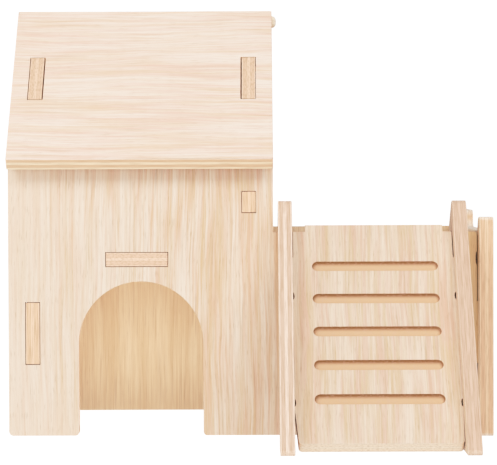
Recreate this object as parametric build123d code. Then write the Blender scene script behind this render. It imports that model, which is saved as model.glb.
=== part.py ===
"""Wooden hamster house: a gabled plywood house with an upper floor that runs out to a landing,
and a ramp that hooks over the landing's front edge. Sizes are in millimetres.

While the pieces are made, x runs right from the house's left edge, y runs back from the front
panel's face and z runs up from the floor. At the end they all move together, to put the origin
at the bottom centre of the whole."""
from build123d import *
import os
from math import cos, radians, sin

# Plywood and how it is cut
ply = 6.0                # thickness of every board
tab = 26.6               # length of a full tab
short_tab = 9.1          # length of the right wall's tabs in the panels
slot_air = 0.2           # air round a tab in its slot
snug_air = 0.08          # air round the right wall's tab at the back, and beside the rear roof's tabs
corner = 1.6             # rounding of a board's corners
foot_corner = 2.0        # rounding of the panels' outer feet
nick_depth = 0.7         # relief nick at a tab's root, in from the board's edge

# House
house_width = 114.0
house_depth = 128.0      # over the front and back panels
roof_height = 121.6      # underside of the roof above the panels' outer faces
floor_top = 78.8         # walking surface of the upper floor and the landing
wall_inset = 7.4         # side walls' outer faces, in from the house's edges
wall_tab_height = 44.1   # middle of the tabs that join the panels to the left wall and the end wall
floor_tab_x = 55.3       # middle of the floor's tabs inside the house
right_tab_height = 100.4 # middle of the right wall's tabs in the panels
panel_air = 0.2          # panels' top edges below the roof

# Doorways
door_x = 57.0            # middle of the front doorway
door_width = 53.6
door_height = 66.4
side_door_height = 58.0  # from the landing into the upper room

# Landing
landing_length = 88.0    # from the house to the end wall
curb = 8.6               # panels' and end wall's edges above the landing
end_reach = 8.1          # end wall past the panels' outer faces
end_air = 0.4            # panels' ends short of the end wall
end_nick = 5.6           # length of the nick in the panels' ends
end_wall_rise = 0.3      # end wall's top edge above the panels' edges
front_horn = 11.0        # length of the front horn at its foot
front_horn_height = 6.4  # above the panels' edges, as is the next
rear_horn_height = 8.0
rear_horn = 40.6         # length of the rear horn
rear_horn_foot = 4.4     # rounding where the rear horn meets the dip
rear_horn_round = 3.0

# Roof
roof_pitch = 45.0        # degrees
eave = 11.3              # overhang in front of and behind the panels
roof_tab_place = 40.9    # middle of the roof's slots, up the slope from the panel's outer face
roof_slot_air = 0.5      # air beside a tab of the front roof, on the side towards the room
roof_corner = 0.6
rod_diameter = 5.4
rod_sink = 4.3           # rod's centre below the point where the walls' slopes meet
rod_air = 0.1            # air round the rod in its notches
rod_side_air = 1.2       # rod to each plate's lower ridge edge, seen from above
rod_past = 2.0           # rod past the house's right edge
rod_end_round = 2.0

# Ramp
ramp_angle = 50.5        # degrees
ramp_tread = 68.6        # board between the rails
left_rail_gap = 2.0      # house's right edge to the left rail
tip_rise = 3.0           # tongue's upper edge above the panel's top edge
tongue_width = 58.9
shoulder_drop = 3.7      # shoulders short of the tongue's end, along the slope
shoulder_air = 0.3       # shoulders in front of the panel
tongue_shift = 0.65      # tongue and grooves, right of the board's middle
tongue_air = 0.4         # tongue in its notch in the panel, each side
notch_air = 1.6          # tongue's underside over the bottom of that notch
upper_trim = 0.4         # board's upper end short of each rail
foot_width = 66.7        # board's bottom end, which tapers in from the rails
board_tab = 18.5         # length of the board's tabs in the rails
lower_tab_start = 21.9   # up the slope from the board's bottom edge
upper_tab_start = 76.2
board_nick = 3.9         # length of the nicks in the board's sides
rail_width = 21.0
rail_lip = 7.7           # rails above the board's surface
rail_past_tip = 10.3     # rails past the tongue's end, along the slope
rail_end_round = 6.0
rail_foot_round = 1.5
hook_air = 0.2           # panel in the rail's hook
hook_round = 2.0
rung_count = 5
rung_length = 53.3
rung_width = 5.0
rung_depth = 2.5
rung_pitch = 17.07
first_rung = 21.7        # up the slope from the board's bottom edge

# Worked out from the sizes above
middle_y = house_depth / 2
back_y = house_depth - ply
left_wall_x = wall_inset
right_wall_x = house_width - wall_inset - ply
end_wall_x = house_width + landing_length
landing_x = house_width + landing_length / 2
curb_top = floor_top + curb
panel_top = roof_height - panel_air
pitch_cos, pitch_sin = cos(radians(roof_pitch)), sin(radians(roof_pitch))
ramp_cos, ramp_sin = cos(radians(ramp_angle)), sin(radians(ramp_angle))
board_length = (curb_top + tip_rise - ply * ramp_cos) / ramp_sin
shoulder_length = board_length - shoulder_drop
ramp_start_y = -shoulder_air - shoulder_length * ramp_cos - ply * ramp_sin
ramp_start_z = ply * ramp_cos
left_rail_x = house_width + left_rail_gap
board_x = left_rail_x + ply
right_rail_x = board_x + ramp_tread
ramp_middle_x = board_x + ramp_tread / 2 + tongue_shift


def span(u0, v0, u1, v1):
    """A rectangle between two corners."""
    return Pos((u0 + u1) / 2, (v0 + v1) / 2) * Rectangle(u1 - u0, v1 - v0)


def slot(u0, v0, u1, v1, air=slot_air):
    """The slot for a tab between two corners."""
    return span(u0 - air, v0 - air, u1 + air, v1 + air)


def leaning(place, along0, out0, along1, out1):
    """A rectangle between two corners on a slope, where place gives the slope's places."""
    corners = (along0, out0), (along1, out0), (along1, out1), (along0, out1)
    return Polygon(*(place(along, out) for along, out in corners), align=None)


def arch(middle, foot, width, height):
    """A round-topped doorway that stands on foot."""
    spring = foot + height - width / 2
    opening = span(middle - width / 2, foot - ply, middle + width / 2, spring)
    return opening + Pos(middle, spring) * Circle(width / 2)


def rounded(outline, radius, *places):
    """The outline with the corners nearest to these places rounded."""
    corners = [min(outline.vertices(), key=lambda v: (Vector(v) - Vector(*p)).length) for p in places]
    return fillet(corners, radius)


def facing_front(outline, y):
    """A board across the house, its outline in x and z."""
    return extrude(Plane(origin=(0, y, 0), x_dir=(1, 0, 0), z_dir=(0, -1, 0)) * outline, -ply)


def facing_side(outline, x):
    """A board from front to back, its outline in y and z."""
    return extrude(Plane.YZ.offset(x) * outline, ply)


def lying(outline, z):
    """A level board, its outline in x and y."""
    return extrude(Plane.XY.offset(z) * outline, ply)


def to_back(shape):
    """The shape mirrored from the house's front to its back."""
    return mirror(shape, Plane(origin=(0, middle_y, 0), z_dir=(0, 1, 0)))


# Side walls and roof: places on the front slope, in y and z. Along is measured up the slope from
# above the panel's outer face, and out is measured outwards from the roof's underside.
eave_along = (ply * pitch_sin - eave) / pitch_cos
ridge_along = (middle_y - rod_diameter / 2 - rod_side_air) / pitch_cos
roof_length = ridge_along - eave_along
roof_tab_along = roof_tab_place - tab / 2
ridge_z = roof_height + middle_y * pitch_sin / pitch_cos
rod_z = ridge_z - rod_sink


def on_slope(along, out):
    return along * pitch_cos - out * pitch_sin, roof_height + along * pitch_sin + out * pitch_cos


def gable(foot):
    """A side wall's outline from foot up to the roof, with the rod's notch and the roof tabs."""
    low = roof_height + ply * pitch_sin / pitch_cos
    corners = (ply, foot), (back_y, foot), (back_y, low), (middle_y, ridge_z), (ply, low)
    outline = Polygon(*corners, align=None)
    notch = rod_diameter / 2 + rod_air
    outline -= Pos(middle_y, rod_z) * Circle(notch)
    outline -= span(middle_y - notch, rod_z, middle_y + notch, ridge_z + ply)
    front = leaning(on_slope, roof_tab_along, -ply / 2, roof_tab_along + tab, ply)
    return outline + front + mirror(front, Plane(origin=(middle_y, 0, 0), z_dir=(1, 0, 0)))


def panel_tabs(z, length):
    """A side wall's tabs in the front and back panels."""
    low, high = z - length / 2, z + length / 2
    return span(0, low, ply, high) + span(back_y, low, house_depth, high)


def left_wall():
    outline = gable(0) + panel_tabs(wall_tab_height, tab)
    outline -= slot(middle_y - tab / 2, floor_top - ply, middle_y + tab / 2, floor_top)
    return facing_side(outline, left_wall_x)


def right_wall():
    outline = gable(floor_top) + panel_tabs(right_tab_height, short_tab)
    outline -= arch(middle_y, floor_top, door_width, side_door_height)
    return facing_side(outline, right_wall_x)


def roof(room_air, outer_air):
    """A roof board on the front slope, with room_air beside its tabs on the side towards the room."""
    outline = span(0, 0, house_width, roof_length)
    outline = fillet(outline.vertices(), roof_corner)
    low = roof_tab_along - eave_along - slot_air
    high = low + tab + 2 * slot_air
    outline -= span(left_wall_x - outer_air, low, left_wall_x + ply + room_air, high)
    outline -= span(right_wall_x - room_air, low, right_wall_x + ply + outer_air, high)
    y, z = on_slope(eave_along, ply)
    top_face = Plane(origin=(0, y, z), x_dir=(1, 0, 0), z_dir=(0, -pitch_sin, pitch_cos))
    return extrude(top_face * outline, -ply)


def ridge_rod():
    rod = extrude(Plane.YZ * Pos(middle_y, rod_z) * Circle(rod_diameter / 2), house_width + rod_past)
    return fillet(rod.edges().filter_by(GeomType.CIRCLE), rod_end_round)


# Panels, floor and end wall
def panel(right_air):
    """The outline of both panels: the house's gable side and the landing's low side. right_air is the
    air round the right wall's tab."""
    end = end_wall_x - end_air
    outline = span(0, 0, house_width, panel_top) + span(0, 0, end, curb_top)
    outline = rounded(outline, corner, (0, panel_top), (house_width, panel_top), (end, 0), (end, curb_top))
    outline = rounded(outline, foot_corner, (0, 0))
    outline -= Pos(end, floor_top - end_nick / 2) * Ellipse(nick_depth, end_nick / 2)
    low, high = wall_tab_height - tab / 2, wall_tab_height + tab / 2
    outline += span(end - ply, low, end_wall_x + ply, high)
    outline -= slot(left_wall_x, low, left_wall_x + ply, high)
    low, high = right_tab_height - short_tab / 2, right_tab_height + short_tab / 2
    outline -= slot(right_wall_x, low, right_wall_x + ply, high, right_air)
    for x in (floor_tab_x, landing_x):
        outline -= slot(x - tab / 2, floor_top - ply, x + tab / 2, floor_top)
    return outline


def front_panel():
    outline = panel(slot_air) - arch(door_x, 0, door_width, door_height)
    outline = rounded(outline, corner, (door_x - door_width / 2, 0), (door_x + door_width / 2, 0))
    tongue_under = ramp_start_z - ramp_start_y * ramp_sin / ramp_cos - ply / ramp_cos
    half = tongue_width / 2 + tongue_air
    outline -= span(ramp_middle_x - half, tongue_under - notch_air, ramp_middle_x + half, curb_top + ply)
    return facing_front(outline, 0)


def back_panel():
    return facing_front(panel(snug_air), back_y)


def upper_floor():
    left = left_wall_x + ply
    outline = span(left, ply, end_wall_x, back_y)
    for x in (floor_tab_x, landing_x):
        outline += span(x - tab / 2, 0, x + tab / 2, house_depth)
    outline += span(left_wall_x, middle_y - tab / 2, end_wall_x + ply, middle_y + tab / 2)
    return lying(outline, floor_top - ply)


def end_wall():
    front, back = -end_reach, house_depth + end_reach
    dip, front_top, rear_top = curb_top + end_wall_rise, curb_top + front_horn_height, curb_top + rear_horn_height
    outline = span(front, 0, back, dip)
    horn = span(front, dip - ply, front + front_horn, front_top)
    outline += rounded(horn, front_top - dip, (front + front_horn, front_top))
    rear_face = back - rear_horn
    outline += span(rear_face, dip - ply, back, rear_top)
    outline = rounded(outline, rear_horn_foot, (rear_face, dip))
    outline = rounded(outline, rear_horn_round, (rear_face, rear_top))
    outline = rounded(outline, corner, (front, 0), (back, 0), (front, front_top), (back, rear_top))
    for y in (0, back_y):
        outline -= slot(y, wall_tab_height - tab / 2, y + ply, wall_tab_height + tab / 2)
    outline -= slot(middle_y - tab / 2, floor_top - ply, middle_y + tab / 2, floor_top)
    return facing_side(outline, end_wall_x)


# Ramp: places in y and z from the upper edge of the board's bottom end. Along is measured up the
# board's surface, and out is measured outwards from it.
def on_ramp(along, out):
    y = ramp_start_y + along * ramp_cos - out * ramp_sin
    return y, ramp_start_z + along * ramp_sin + out * ramp_cos


def rung():
    """The round-bottomed cutter of one grip groove, lying along x on the surface."""
    radius = (rung_width ** 2 / 4 + rung_depth ** 2) / (2 * rung_depth)
    half = (rung_length - rung_width) / 2
    cutter = Rot(0, 90, 0) * Cylinder(radius, 2 * half)
    cutter += [Pos(x, 0, 0) * Sphere(radius) for x in (-half, half)]
    return Pos(0, 0, radius - rung_depth) * cutter


def ramp_board():
    surface = Plane(origin=(0, ramp_start_y, ramp_start_z), x_dir=(1, 0, 0), z_dir=(0, -ramp_sin, ramp_cos))
    right = board_x + ramp_tread
    trim_start = upper_tab_start + board_tab
    taper_end = lower_tab_start - board_nick
    feet = (ramp_middle_x - foot_width / 2, 0), (ramp_middle_x + foot_width / 2, 0)
    outline = Polygon(*feet, (right, taper_end), (board_x, taper_end), align=None)
    outline = rounded(outline, corner, *feet) + span(board_x, taper_end, right, trim_start)
    outline += span(board_x + upper_trim, trim_start - ply, right - upper_trim, shoulder_length)
    outline += span(ramp_middle_x - tongue_width / 2, 0, ramp_middle_x + tongue_width / 2, board_length)
    for start in (lower_tab_start, upper_tab_start):
        for x in (board_x, right):
            outline -= Pos(x, start - board_nick / 2) * Ellipse(nick_depth, board_nick / 2)
        outline += span(left_rail_x, start, right_rail_x + ply, start + board_tab)
    board = extrude(surface * outline, -ply)
    for n in range(rung_count):
        board -= surface * Pos(ramp_middle_x, first_rung + n * rung_pitch, 0) * rung()
    return board


def ramp_rail(x):
    top, out, under = board_length + rail_past_tip, rail_lip, rail_lip - rail_width
    below = -rail_width / ramp_cos
    strip = leaning(on_ramp, below, under, top, out)
    strip = rounded(strip, rail_end_round, on_ramp(top, out))
    strip &= span(on_ramp(below, out)[0], 0, house_depth, 2 * curb_top)
    foot_y = ramp_start_y - (ramp_start_z + rail_lip / ramp_cos) * ramp_cos / ramp_sin
    strip = rounded(strip, rail_foot_round, (foot_y, 0))
    strip -= span(-hook_air, 0, ply + hook_air, curb_top)
    hook_z = curb_top - (on_ramp(top, under)[0] - ply) * ramp_sin / ramp_cos
    strip = rounded(strip, hook_round, (ply + hook_air, hook_z))
    for start in (lower_tab_start, upper_tab_start):
        end = start + board_tab
        strip -= leaning(on_ramp, start - slot_air, -ply - slot_air, end + slot_air, slot_air)
    return facing_side(strip, x)


pieces = {
    "front_panel": front_panel(),
    "back_panel": back_panel(),
    "left_wall": left_wall(),
    "right_wall": right_wall(),
    "end_wall": end_wall(),
    "upper_floor": upper_floor(),
    "roof_front": roof(roof_slot_air, slot_air),
    "roof_rear": to_back(roof(snug_air, snug_air)),
    "ridge_rod": ridge_rod(),
    "ramp_board": ramp_board(),
    "ramp_left_rail": ramp_rail(left_rail_x),
    "ramp_right_rail": ramp_rail(right_rail_x),
}

# The origin is at the bottom centre of the whole
box = Compound(list(pieces.values())).bounding_box()
to_origin = Pos(-(box.min.X + box.max.X) / 2, -(box.min.Y + box.max.Y) / 2, -box.min.Z)

os.makedirs("parts", exist_ok=True)
for name, piece in pieces.items():
    export_step(to_origin * piece, f"parts/{name}.step")
print("x, y, z added to every place:", [round(v, 3) for v in to_origin.position])
print("overall size:", [round(v, 2) for v in box.size])
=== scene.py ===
"""Wooden hamster house: plywood materials, sanded edges, a pale studio and the camera, round the
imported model. Lengths are in metres. The plywood material works in millimetres, apart from the
lengths there that are written with MM."""
import math

import bpy
from mathutils import Matrix, Vector

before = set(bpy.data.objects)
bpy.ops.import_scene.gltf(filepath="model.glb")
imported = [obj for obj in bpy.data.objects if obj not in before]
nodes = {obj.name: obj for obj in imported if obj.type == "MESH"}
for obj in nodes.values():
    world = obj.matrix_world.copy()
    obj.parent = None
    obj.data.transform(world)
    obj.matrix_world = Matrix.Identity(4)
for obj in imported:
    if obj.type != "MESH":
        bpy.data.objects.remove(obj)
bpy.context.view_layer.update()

MM = 0.001
X, Y, Z = Vector((1, 0, 0)), Vector((0, 1, 0)), Vector((0, 0, 1))
WHITE = (1, 1, 1, 1)


# ---------------------------------------------------------------- material nodes
class Graph:
    """One material's nodes, made by short calls that pass sockets on."""

    def __init__(self, name):
        self.material = bpy.data.materials.new(name)
        self.material.use_nodes = True
        self.tree = self.material.node_tree
        self.tree.nodes.clear()

    def node(self, kind, **settings):
        made = self.tree.nodes.new(kind)
        for key, value in settings.items():
            setattr(made, key, value)
        return made

    def feed(self, socket, value):
        if isinstance(value, bpy.types.NodeSocket):
            self.tree.links.new(value, socket)
        else:
            socket.default_value = value

    def math(self, operation, a, b=0.0, c=0.0):
        made = self.node("ShaderNodeMath", operation=operation)
        for socket, value in zip(made.inputs, (a, b, c)):
            self.feed(socket, value)
        return made.outputs[0]

    def add(self, *values):
        total = values[0]
        for value in values[1:]:
            total = self.math("ADD", total, value)
        return total

    def times(self, a, b):
        return self.math("MULTIPLY", a, b)

    def vector(self, operation, a, b):
        made = self.node("ShaderNodeVectorMath", operation=operation)
        self.feed(made.inputs[0], a)
        self.feed(made.inputs["Scale" if operation == "SCALE" else 1], b)
        return made.outputs["Value" if operation == "DOT_PRODUCT" else "Vector"]

    def point(self, x, y, z):
        made = self.node("ShaderNodeCombineXYZ")
        for socket, value in zip(made.inputs, (x, y, z)):
            self.feed(socket, value)
        return made.outputs[0]

    def noise(self, x, y, z, detail, roughness=0.5):
        made = self.node("ShaderNodeTexNoise")
        self.feed(made.inputs["Vector"], self.point(x, y, z))
        for name, value in (("Scale", 1.0), ("Detail", detail), ("Roughness", roughness)):
            made.inputs[name].default_value = value
        return made.outputs["Fac"]

    def band(self, value, low, high, out_low=0.0, out_high=1.0):
        """out_low where value is up to low, out_high from high on, and a smooth change between."""
        made = self.node("ShaderNodeMapRange", interpolation_type="SMOOTHSTEP")
        for socket, number in zip(made.inputs, (value, low, high, out_low, out_high)):
            self.feed(socket, number)
        return made.outputs[0]

    def fade(self, value, low, high):
        """1 where value is up to low, and 0 from high on."""
        return self.band(value, low, high, 1.0, 0.0)

    def between(self, value, low, high, soft):
        """1 where value lies between low and high, fading over soft at both."""
        return self.times(self.band(value, low - soft, low + soft),
                          self.band(value, high + soft, high - soft))

    def mix(self, share, a, b):
        made = self.node("ShaderNodeMix", data_type="RGBA")
        for index, value in ((0, share), (6, a), (7, b)):    # 6, 7 and output 2 are the colours
            self.feed(made.inputs[index], value)
        return made.outputs[2]


def tone(red, green, blue):
    """A screen colour of 0 to 255 as the linear colour that a shader takes."""
    def linear(value):
        value /= 255
        return value / 12.92 if value <= 0.04045 else ((value + 0.055) / 1.055) ** 2.4
    return linear(red), linear(green), linear(blue), 1.0


# ---------------------------------------------------------------- plywood
THICKNESS = 6.0

# Depths below the best face, as shares of the thickness
GLUE_LINES = (0.10, 0.36, 0.61, 0.88)    # between the five layers
GLUE_HALF = 0.014                        # half a glue line's width
LAYER_SOFT = 0.012                       # over which one layer's colour turns into the next one's
CUT_LOW, CUT_HIGH, CUT_SOFT = 0.02, 0.98, 0.01    # between these, a spot isn't on a face
REVERSE_LOW, REVERSE_HIGH = 0.4, 0.6     # where the best face's tones give way to the other's
GROOVE_LOW, GROOVE_HIGH = 0.44, 0.48     # just under the milled grooves' floors

# How level a spot is with the best face: 0 at an edge, and 1 on a face or a groove's floor
LEVEL_LOW, LEVEL_HIGH = 0.35, 0.9        # where the edges' tones give way to the faces'
FACE_LOW, FACE_HIGH = 0.95, 0.99         # where the painted gap shade ends

# Each kind of mark's noise: how fast it changes across and along the grain, where it lies in the
# noise, and its detail. How strong the mark is stands in the board's look, under the same name.
MARKS = {
    "lines": (0.75, 0.013, 9.0, 3.0),
    "strokes": (1.6, 0.06, 13.0, 2.0),
    "stripes": (0.10, 0.009, 5.0, 2.0),
    "blushes": (0.35, 0.02, 25.0, 2.0),
    "shades": (1.3, 0.03, 21.0, 2.0),
}
PORES = (3.2, 0.18, 17.0, 1.0)           # the same for the pores
SWAY = (0.025, 0.012, 2.0)               # what makes the grain sway: across, along, detail
FIBRES = (0.8, 0.10, 11.0, 3.0)          # the edges' fibres: across, along, down, detail
NOISE_ROUGHNESS = 0.6                    # of the marks and the fibres
FACE_SEED, EDGE_SEED = 37.0, 41.0        # how far apart the boards lie in the noise
MIDDLE = 0.5                             # the noise's middle value

# Where in the noise a mark begins and is at its full strength, and how strong that is
PORE_LOW, PORE_HIGH = 0.60, 0.74
BLUSH_LOW, BLUSH_HIGH = 0.3, 0.7
SHADE_DARK = 0.5
FIBRE_LOW, FIBRE_HIGH, FIBRE_DARK = 0.42, 0.66, 0.34
MILLED_LOW, MILLED_HIGH, MILLED_ROSE = 0.45, 0.75, 0.4

CALM_LOW, CALM_HIGH = 8.0, 60.0          # where across a board its grain grows to full strength
PAINTED_AMBER_SOFT = 7.0                         # over which a board turns to its painted amber, a painted light
FOOT_LOW, FOOT_HIGH = 4.0, 6.0           # where along the ramp the milled tones begin

# The surface: how high pores and late wood lie, and the roughness at a low and a high spot
PORE_HEIGHT, WARM_HEIGHT = -0.8, -0.3
HEIGHT_LOW, HEIGHT_HIGH = -0.8, 0.6
ROUGH_LOW, ROUGH_HIGH = 0.74, 0.56
SHINE = 0.2
BUMP_STRENGTH, BUMP_DEPTH = 0.3, 0.05 * MM

# Painted shade in the narrow gaps round tabs
GAP_SHADE_TONE = tone(84, 60, 42)
GAP_SHADE_STRENGTH = 0.80
GAP_SHADE_REACH = 0.5 * MM                    # how near to another surface it lies
OPEN_LOW, OPEN_HIGH = 0.35, 0.90         # how open a spot is where the painted shade is full, and ends
NEAR_FLOOR, OFF_FLOOR = 0.5 * MM, 2.0 * MM    # how high it begins, and is full
GAP_SHADE_SAMPLES = 8


def face_colour(g, across, along, depth, seed, look):
    """Straight-grained veneer: long tan lines, short strokes, broad light and dark stripes, and
    pores. Returns its colour, and its height for the bump."""
    far = seed * FACE_SEED
    wide, long, detail = SWAY
    wander = g.noise(g.times(across, wide), g.times(along, long), far, detail)
    across = g.add(across, g.times(wander, look["sway"]))
    strength = g.band(across, CALM_LOW, CALM_HIGH, look["calm"], 1.0)

    def mark(kind):
        wide, long, layer, detail = MARKS[kind]
        value = g.noise(g.times(across, wide), g.times(along, long), far + layer, detail,
                        NOISE_ROUGHNESS)
        return g.times(g.times(g.math("SUBTRACT", value, MIDDLE), strength), look[kind])

    warmth = g.add(MIDDLE, mark("lines"), mark("strokes"), mark("stripes"),
                   g.band(across, *look["drift"]))
    blush = g.add(MIDDLE, mark("blushes"))
    shade = g.add(MIDDLE, mark("shades"))
    wide, long, layer, detail = PORES
    pores = g.noise(g.times(across, wide), g.times(along, long), far + layer, detail)
    pore = g.band(pores, PORE_LOW, PORE_HIGH)
    # amber and brown are painted light on faces that lie in shade
    reverse = g.band(depth, REVERSE_LOW, REVERSE_HIGH, out_high=look["reverse"])
    painted_amber = g.math("MAXIMUM", reverse, g.band(across, look["painted_amber"], look["painted_amber"] + PAINTED_AMBER_SOFT))
    pale = g.mix(painted_amber, look["pale"], look["amber"])
    warm = g.mix(g.band(blush, BLUSH_LOW, BLUSH_HIGH), look["warm"], look["rose"])
    warm = g.mix(painted_amber, warm, look["brown"])
    colour = g.mix(g.band(warmth, 0.0, 1.0), pale, warm)
    colour = g.mix(g.band(shade, MIDDLE, 1.0, out_high=SHADE_DARK), colour, look["dark"])
    colour = g.mix(g.times(pore, look["pore"]), colour, look["dark"])
    return colour, g.add(g.times(pore, PORE_HEIGHT), g.times(warmth, WARM_HEIGHT))


def edge_colour(g, across, along, depth, facing, flat, seed, look):
    """The layers seen at an edge or in a groove, under a face that may be sanded down. Every second
    layer is turned. core and end are the straight and the turned layers where the edge runs along
    the face's grain, and tip and cross are the same two where it cuts across that grain. Returns
    their colour, and their fibres for the bump."""
    depth = g.add(depth, look["sanded"])
    second, third, fourth, fifth = GLUE_LINES
    turned = g.math("MAXIMUM", g.between(depth, second, third, LAYER_SOFT),
                    g.between(depth, fourth, fifth, LAYER_SOFT))
    wall = g.fade(flat, LEVEL_LOW, LEVEL_HIGH)
    wide, long, deep, detail = FIBRES
    fibres = g.noise(g.times(across, wide), g.times(along, long),
                     g.add(g.times(depth, deep), seed * EDGE_SEED), detail, NOISE_ROUGHNESS)
    long_way = g.mix(turned, look["core"], look["end"])
    cut_across = g.mix(turned, look["tip"], look["cross"])
    colour = g.mix(facing, long_way, cut_across)
    colour = g.mix(wall, look["arris"], colour)
    fibre = g.band(fibres, FIBRE_LOW, FIBRE_HIGH, out_high=FIBRE_DARK)
    colour = g.mix(fibre, colour, look["dark"])
    for place in GLUE_LINES:
        line = g.math("COMPARE", depth, place, GLUE_HALF)
        colour = g.mix(g.times(line, look["glue"]), colour, look["dark"])
    # the groove's walls are darker partly as scorched end grain and partly as painted shade
    milled = g.mix(wall, look["milled"], look["burnt_and_shaded"])
    fibre = g.band(fibres, MILLED_LOW, MILLED_HIGH, out_high=MILLED_ROSE)
    milled = g.mix(fibre, milled, look["rose"])
    groove = g.times(g.band(depth, GROOVE_LOW, GROOVE_HIGH, look["grooved"], 0.0),
                     g.band(along, FOOT_LOW, FOOT_HIGH))
    return g.mix(groove, colour, milled), fibres


def painted_gap_shade(g, flat):
    """How much painted shade shows: it darkens narrow gaps, but not by the floor and not on a face.
    """
    crevice = g.node("ShaderNodeAmbientOcclusion", samples=GAP_SHADE_SAMPLES)
    crevice.inputs["Distance"].default_value = GAP_SHADE_REACH
    world = g.node("ShaderNodeNewGeometry").outputs["Position"]
    above_floor = g.band(g.vector("DOT_PRODUCT", world, Z), NEAR_FLOOR, OFF_FLOOR)
    closed = g.band(crevice.outputs["AO"], OPEN_LOW, OPEN_HIGH, GAP_SHADE_STRENGTH, 0.0)
    return g.times(g.times(closed, above_floor), g.fade(flat, FACE_LOW, FACE_HIGH))


def plywood(name, across, along, normal, corners, seed, look):
    """A board's material. across, along and normal are its own directions, with the face's grain
    along. The distances across and along start at the board's low edges, and the depth at the face
    that normal leaves."""
    g = Graph(name)
    start = (across * min(map(across.dot, corners)) + along * min(map(along.dot, corners))
             + normal * max(map(normal.dot, corners)))
    place = g.node("ShaderNodeTexCoord")
    here = g.vector("SCALE", g.vector("SUBTRACT", place.outputs["Object"], start), 1 / MM)
    over = g.vector("DOT_PRODUCT", here, across)
    up = g.vector("DOT_PRODUCT", here, along)
    depth = g.vector("DOT_PRODUCT", here, normal * (-1 / THICKNESS))
    facing = g.math("ABSOLUTE", g.vector("DOT_PRODUCT", place.outputs["Normal"], along))
    flat = g.math("ABSOLUTE", g.vector("DOT_PRODUCT", place.outputs["Normal"], normal))

    face, face_height = face_colour(g, over, up, depth, seed, look)
    edge, fibres = edge_colour(g, over, up, depth, facing, flat, seed, look)
    cut = g.math("MAXIMUM", g.fade(flat, LEVEL_LOW, LEVEL_HIGH),
                 g.between(depth, CUT_LOW, CUT_HIGH, CUT_SOFT))
    # painted shade darkens the narrow gaps round tabs
    colour = g.mix(painted_gap_shade(g, flat), g.mix(cut, face, edge), GAP_SHADE_TONE)
    height = g.add(g.times(face_height, g.fade(cut, 0, 1)), g.times(fibres, cut))

    bump = g.node("ShaderNodeBump")
    bump.inputs["Strength"].default_value = BUMP_STRENGTH
    bump.inputs["Distance"].default_value = BUMP_DEPTH
    g.feed(bump.inputs["Height"], height)
    shader = g.node("ShaderNodeBsdfPrincipled")
    g.feed(shader.inputs["Base Color"], colour)
    roughness = g.band(height, HEIGHT_LOW, HEIGHT_HIGH, ROUGH_LOW, ROUGH_HIGH)
    g.feed(shader.inputs["Roughness"], roughness)
    g.feed(shader.inputs["Normal"], bump.outputs["Normal"])
    shader.inputs["Specular IOR Level"].default_value = SHINE
    out = g.node("ShaderNodeOutputMaterial")
    g.feed(out.inputs["Surface"], shader.outputs["BSDF"])
    return g.material


NOWHERE = 900.0    # farther across than any board reaches


def look(pale, warm, rose, dark, core, end, tip, cross, amber=(241, 215, 182),
         brown=(225, 194, 157), milled=(219, 176, 139), burnt_and_shaded=(154, 108, 70), arris=(250, 226, 200),
         **marks):
    """What one kind of board looks like. pale, warm and rose are its light wood, late wood and
    blushes, and dark is its pores and glue lines. core, end, tip and cross are the layers at its
    edges. amber and brown are lighter tones on a face that lies in shade: painted light. milled
    is a groove's floor, and the tone after it the groove's walls, darker partly as scorched end
    grain and partly as painted shade. arris is what is rounded or cut level. marks are the
    settings below that differ from the usual."""
    tones = dict(pale=pale, warm=warm, rose=rose, dark=dark, core=core, end=end, tip=tip,
                 cross=cross, amber=amber, brown=brown, milled=milled, burnt_and_shaded=burnt_and_shaded, arris=arris)
    usual = dict(
        lines=1.7, strokes=0.9, stripes=1.8, blushes=3.0, shades=1.5, pore=0.35,
        sway=5.0,         # how far the grain sways
        calm=1.0,         # how strong the grain is at the board's low edge
        drift=(NOWHERE, NOWHERE + 1, 0.0, 0.0),    # from and to where across the board it turns
                                                   # warmer, and how warm it is before and after
        reverse=0.0,      # how far the other face turns to amber and brown, as painted light
        painted_amber=NOWHERE,    # from where across the board both faces do, as painted light
        sanded=0.0,       # the share of the thickness that is sanded off the best face
        grooved=0.0,      # 1 where the board has milled grooves
        glue=0.3,         # how dark the glue lines are
    )
    return {name: tone(*colour) for name, colour in tones.items()} | usual | marks


PANEL_TONES = ((232, 211, 190), (211, 173, 137), (216, 173, 145), (160, 118, 84))
RAMP_TONES = ((231, 207, 184), (211, 176, 143), (215, 174, 150), (160, 120, 90))
ROOF_TONES = ((244, 222, 204), (230, 192, 161), (232, 189, 166), (196, 150, 116))
PANEL = look(*PANEL_TONES, (240, 198, 166), (230, 187, 154), (240, 200, 172), (228, 186, 158),
             amber=(246, 218, 174), brown=(234, 198, 150), stripes=1.4, blushes=1.4, calm=0.6,
             drift=(20.0, 110.0, -0.12, 0.08))
FRONT = PANEL | dict(painted_amber=188.0)    # its far end, beyond the ramp, turns to amber: painted light that lifts the rail's shadow there
# The back panel's other face, seen through the door, turns to the lighter amber and brown: painted
# light that brightens the house's inside.
BACK = look(*PANEL_TONES, (230, 190, 161), (218, 176, 146), (238, 200, 168), (222, 182, 152),
            reverse=1.0, lines=2.1, strokes=1.2, stripes=1.7, pore=0.15)
# The end wall's other face takes near-white amber and brown: painted light on its inner face, which
# lies in the rail's shadow.
END = look(*PANEL_TONES, (242, 201, 166), (228, 182, 148), (253, 233, 214), (250, 228, 206),
           amber=(255, 238, 212), brown=(252, 226, 196), reverse=1.0)
ROD = look(*PANEL_TONES, (246, 220, 190), (246, 220, 190), (255, 240, 218), (255, 240, 218),
           glue=0.0)
ROOF = look(*ROOF_TONES, (255, 227, 191), (232, 190, 156), (244, 206, 176), (240, 200, 166),
            stripes=1.4, sway=8.0, sanded=0.08, glue=0.2)
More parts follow.
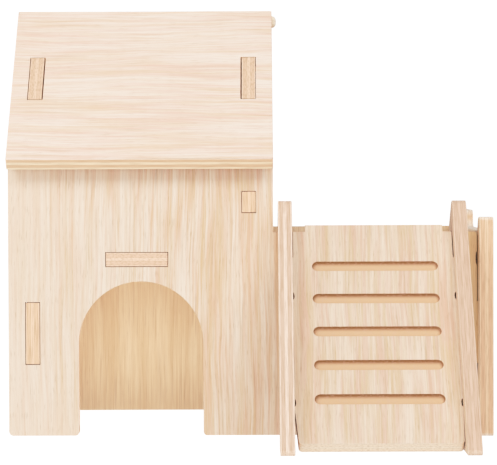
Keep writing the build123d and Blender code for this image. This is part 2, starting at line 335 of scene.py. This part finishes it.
# Its drift makes the strip beside the left rail paler: painted light that lifts the rail's shadow
# there.
RAMP = look(*RAMP_TONES, (243, 204, 181), (222, 186, 162), (255, 230, 203), (255, 226, 197),
            grooved=1.0, drift=(9.0, 13.0, -0.4, 0.0))
LEFT_RAIL = look(*RAMP_TONES, (244, 212, 190), (216, 180, 156), (244, 212, 188), (240, 206, 180))
RIGHT_RAIL = look(*RAMP_TONES, (222, 184, 160), (214, 176, 152), (236, 204, 180), (232, 198, 172),
                  glue=0.4)

ROOF_SLOPE, RAMP_SLOPE = 45.0, 50.5    # degrees


def on_slope(degrees, back=1):
    """Up along, and out of, a board that climbs to the back at this angle, or to the front if back
    is -1."""
    angle = math.radians(degrees)
    return (Vector((0, back * math.cos(angle), math.sin(angle))),
            Vector((0, -back * math.sin(angle), math.cos(angle))))


roof_up, roof_out = on_slope(ROOF_SLOPE)
rear_up, rear_out = on_slope(ROOF_SLOPE, back=-1)
ramp_up, ramp_out = on_slope(RAMP_SLOPE)

# Each board's look, the directions across and along its face's grain, and out of its best face
BOARDS = {
    "front_panel": (FRONT, X, Z, -Y),
    "back_panel": (BACK, X, Z, Y),
    "left_wall": (PANEL, Y, Z, -X),
    "right_wall": (PANEL, Y, Z, X),
    "end_wall": (END, Y, Z, X),
    "upper_floor": (PANEL, X, Y, Z),
    "roof_front": (ROOF, roof_up, X, roof_out),
    "roof_rear": (ROOF, rear_up, X, rear_out),
    "ramp_board": (RAMP, X, ramp_up, ramp_out),
    "ramp_left_rail": (LEFT_RAIL, ramp_out, ramp_up, -X),
    "ramp_right_rail": (RIGHT_RAIL, ramp_out, ramp_up, -X),
    "ridge_rod": (ROD, Y, X, Z),
}

for seed, (name, (finish, across, along, normal)) in enumerate(BOARDS.items(), 1):
    board = nodes[name]
    board.data.materials.clear()
    corners = [vertex.co for vertex in board.data.vertices]
    wood = plywood(name + "_wood", across, along, normal, corners, seed, finish)
    board.data.materials.append(wood)


# ---------------------------------------------------------------- sanded edges
ARRIS = 0.3 * MM
ARRIS_STEPS = 2
ARRIS_ANGLE = math.radians(35)      # edges that turn by less than this aren't rounded
LEVEL_ANGLE = math.radians(0.5)     # faces that differ by less than this are joined
WELD_REACH = 0.0005 * MM


def soften(obj):
    """Rounds every arris a little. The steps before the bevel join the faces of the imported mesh,
    which come apart along every edge, and the last step splits the joined faces into even
    triangles."""
    weld = obj.modifiers.new("weld", "WELD")
    weld.merge_threshold = WELD_REACH
    join = obj.modifiers.new("join", "DECIMATE")
    join.decimate_type = "DISSOLVE"
    join.angle_limit = LEVEL_ANGLE
    arris = obj.modifiers.new("arris", "BEVEL")
    arris.width = ARRIS
    arris.segments = ARRIS_STEPS
    arris.limit_method = "ANGLE"
    arris.angle_limit = ARRIS_ANGLE
    arris.harden_normals = True
    flat = obj.modifiers.new("flat", "WEIGHTED_NORMAL")
    flat.keep_sharp = True
    split = obj.modifiers.new("split", "TRIANGULATE")
    split.ngon_method = "BEAUTY"
    split.keep_custom_normals = True
    obj.data.shade_smooth()


for board in nodes.values():
    soften(board)


# ---------------------------------------------------------------- studio
def for_camera(tree, seen, lit):
    """A strength that is seen by the camera as one value and lights the house with another."""
    path = tree.nodes.new("ShaderNodeLightPath")
    strength = tree.nodes.new("ShaderNodeMapRange")
    for socket, value in zip(strength.inputs, (0.0, 0.0, 1.0, lit, seen)):
        socket.default_value = value
    tree.links.new(path.outputs["Is Camera Ray"], strength.inputs[0])
    return strength.outputs[0]


def studio_floor(size, drop, grey, seen, lit):
    """A pale floor that glows a little, so that it stays pale under the house. It lies drop below
    the house's feet."""
    g = Graph("pale_floor")
    shader = g.node("ShaderNodeBsdfPrincipled")
    shader.inputs["Base Color"].default_value = (grey, grey, grey, 1)
    shader.inputs["Roughness"].default_value = 0.9
    shader.inputs["Specular IOR Level"].default_value = 0.0
    shader.inputs["Emission Color"].default_value = WHITE
    g.feed(shader.inputs["Emission Strength"], for_camera(g.tree, seen, lit))
    out = g.node("ShaderNodeOutputMaterial")
    g.feed(out.inputs["Surface"], shader.outputs["BSDF"])
    half = size / 2
    mesh = bpy.data.meshes.new("floor")
    mesh.from_pydata([(-half, -half, 0), (half, -half, 0), (half, half, 0), (-half, half, 0)], [],
                     [(0, 1, 2, 3)])
    mesh.materials.append(g.material)
    floor = bpy.data.objects.new("floor", mesh)
    floor.location.z = -drop
    bpy.context.scene.collection.objects.link(floor)


def studio_air(seen, lit):
    """Soft white light from all round."""
    world = bpy.data.worlds.new("studio")
    bpy.context.scene.world = world
    world.use_nodes = True
    background = world.node_tree.nodes["Background"]
    background.inputs["Color"].default_value = WHITE
    world.node_tree.links.new(for_camera(world.node_tree, seen, lit), background.inputs["Strength"])


def lamp(name, place, turn, size, power):
    """A square lamp that shines along its own -Z."""
    data = bpy.data.lights.new(name, "AREA")
    data.size = size
    data.energy = power
    made = bpy.data.objects.new(name, data)
    made.location = place
    made.rotation_euler = turn
    bpy.context.scene.collection.objects.link(made)
    return made


HOUSE_MIDDLE = Vector((0, 0, 0.08))


def softbox(name, turn, rise, distance, size, power):
    """A square lamp that looks at the house. turn is degrees to the right of straight in front of
    it, and rise is degrees up."""
    turn, rise = math.radians(turn), math.radians(rise)
    direction = Vector((math.sin(turn) * math.cos(rise), -math.cos(turn) * math.cos(rise),
                        math.sin(rise)))
    lamp(name, HOUSE_MIDDLE + direction * distance, direction.to_track_quat("Z", "Y").to_euler(),
         size, power)


def soft_glow(name, place, size, power):
    """A faint lamp on the floor inside the house, for the light that white paper there would give
    back."""
    lamp(name, place, (math.pi, 0, 0), size, power).visible_camera = False


def soft_highlights(white, points):
    """The scene's tone curve: from 0 to white, it bends over to the brightest screen value."""
    view = bpy.context.scene.view_settings
    view.view_transform = "Standard"
    view.use_curve_mapping = True
    mapping = view.curve_mapping
    mapping.white_level = (white, white, white)
    combined = mapping.curves[3]
    for place, value in points:
        combined.points.new(place / white, value)
    mapping.update()


studio_floor(size=12.0, drop=0.1 * MM, grey=0.30, seen=1.45, lit=0.68)
studio_air(seen=1.6, lit=0.45)
softbox("key_left", turn=-38, rise=36, distance=1.5, size=0.55, power=8.0)
softbox("key_right", turn=30, rise=36, distance=1.5, size=0.55, power=7.3)
softbox("fill", turn=2, rise=6, distance=1.6, size=0.5, power=5.0)
softbox("side", turn=-78, rise=14, distance=1.5, size=0.6, power=4.4)
soft_glow("inside", place=(-0.047, 0.022, 0.004), size=0.09, power=0.036)
soft_highlights(white=1.5, points=((0.3, 0.33), (0.6, 0.615), (0.9, 0.80), (1.2, 0.925)))

# ---------------------------------------------------------------- camera
IMAGE_WIDTH = 497
FOCAL_PIXELS = 2600.0
SENSOR = 36.0          # millimetres wide
CAMERA_PLACE = Vector((1.94, -1144.45, 112.06)) * MM
NEAREST = 0.05         # what is nearer to the camera isn't drawn
YAW, PITCH, ROLL = (math.radians(angle) for angle in (-0.13, -1.27, -0.20))


def camera_turn(yaw, pitch, roll):
    """The turn of a camera that looks along +Y, swung right, tipped up and rolled."""
    ahead = Vector((math.sin(yaw) * math.cos(pitch), math.cos(yaw) * math.cos(pitch),
                    math.sin(pitch)))
    level = Vector((math.cos(yaw), -math.sin(yaw), 0))
    above = level.cross(ahead)
    right = math.cos(roll) * level + math.sin(roll) * above
    up = math.cos(roll) * above - math.sin(roll) * level
    return Matrix((right, up, -ahead)).transposed().to_4x4()


lens = bpy.data.cameras.new("camera")
lens.sensor_width = SENSOR
lens.sensor_fit = "HORIZONTAL"
lens.lens = FOCAL_PIXELS / IMAGE_WIDTH * SENSOR
lens.clip_start = NEAREST
camera = bpy.data.objects.new("camera", lens)
camera.matrix_world = Matrix.Translation(CAMERA_PLACE) @ camera_turn(YAW, PITCH, ROLL)
bpy.context.scene.collection.objects.link(camera)
bpy.context.scene.camera = camera
